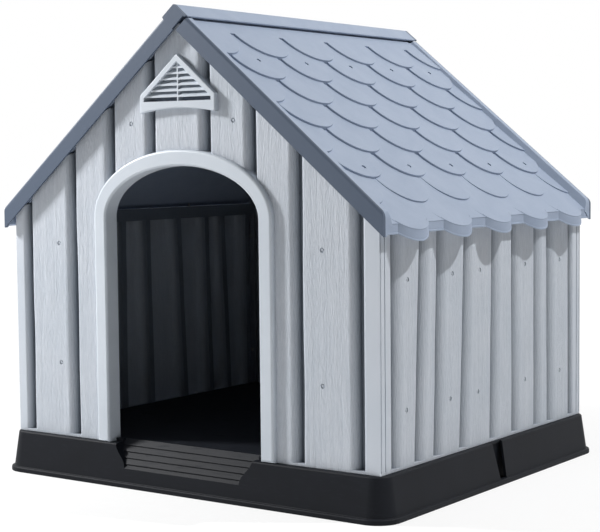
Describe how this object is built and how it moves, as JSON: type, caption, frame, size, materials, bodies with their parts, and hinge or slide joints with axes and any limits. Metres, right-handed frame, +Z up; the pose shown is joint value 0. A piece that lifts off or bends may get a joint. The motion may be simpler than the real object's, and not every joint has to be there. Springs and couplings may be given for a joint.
{
  "type": "dog house",
  "caption": "Moulded plastic dog house with plank walls, an arched doorway, louvred gable vents, a roof of fish-scale tiles and a raised base tray with a step.",
  "frame": {"origin": "on the ground under the middle of the base tray", "axes": "+Z up, -Y out of the doorway, +X towards the right side wall seen from the front, +Y to the rear gable"},
  "size_m": [0.8496, 0.7582, 0.8257],
  "materials": {
    "wall_plastic": "light grey moulded plastic with raised wood grain",
    "trim_plastic": "smooth pale grey moulded plastic",
    "roof_plastic": "satin blue-grey moulded plastic",
    "tray_plastic": "satin near-black moulded plastic",
    "screw_steel": "zinc-plated"
  },
  "bodies": {
    "root": {"base_tray": "tray_plastic", "front_panel": "wall_plastic", "rear_panel": "wall_plastic", "side_panel_right": "wall_plastic", "side_panel_left": "wall_plastic", "gable_vent_front": "trim_plastic", "gable_vent_rear": "trim_plastic", "roof_panel_right": "roof_plastic", "roof_panel_left": "roof_plastic", "foot_screw_1": "screw_steel", "foot_screw_2": "screw_steel", "foot_screw_3": "screw_steel", "foot_screw_4": "screw_steel", "foot_screw_5": "screw_steel", "foot_screw_6": "screw_steel", "foot_screw_7": "screw_steel", "foot_screw_8": "screw_steel", "corner_screw_1": "screw_steel", "corner_screw_2": "screw_steel", "corner_screw_3": "screw_steel", "corner_screw_4": "screw_steel", "corner_screw_5": "screw_steel", "corner_screw_6": "screw_steel", "corner_screw_7": "screw_steel", "corner_screw_8": "screw_steel", "roof_screw_right_1": "screw_steel", "roof_screw_right_2": "screw_steel", "roof_screw_left_1": "screw_steel", "roof_screw_left_2": "screw_steel"}
  },
  "joints": []
}
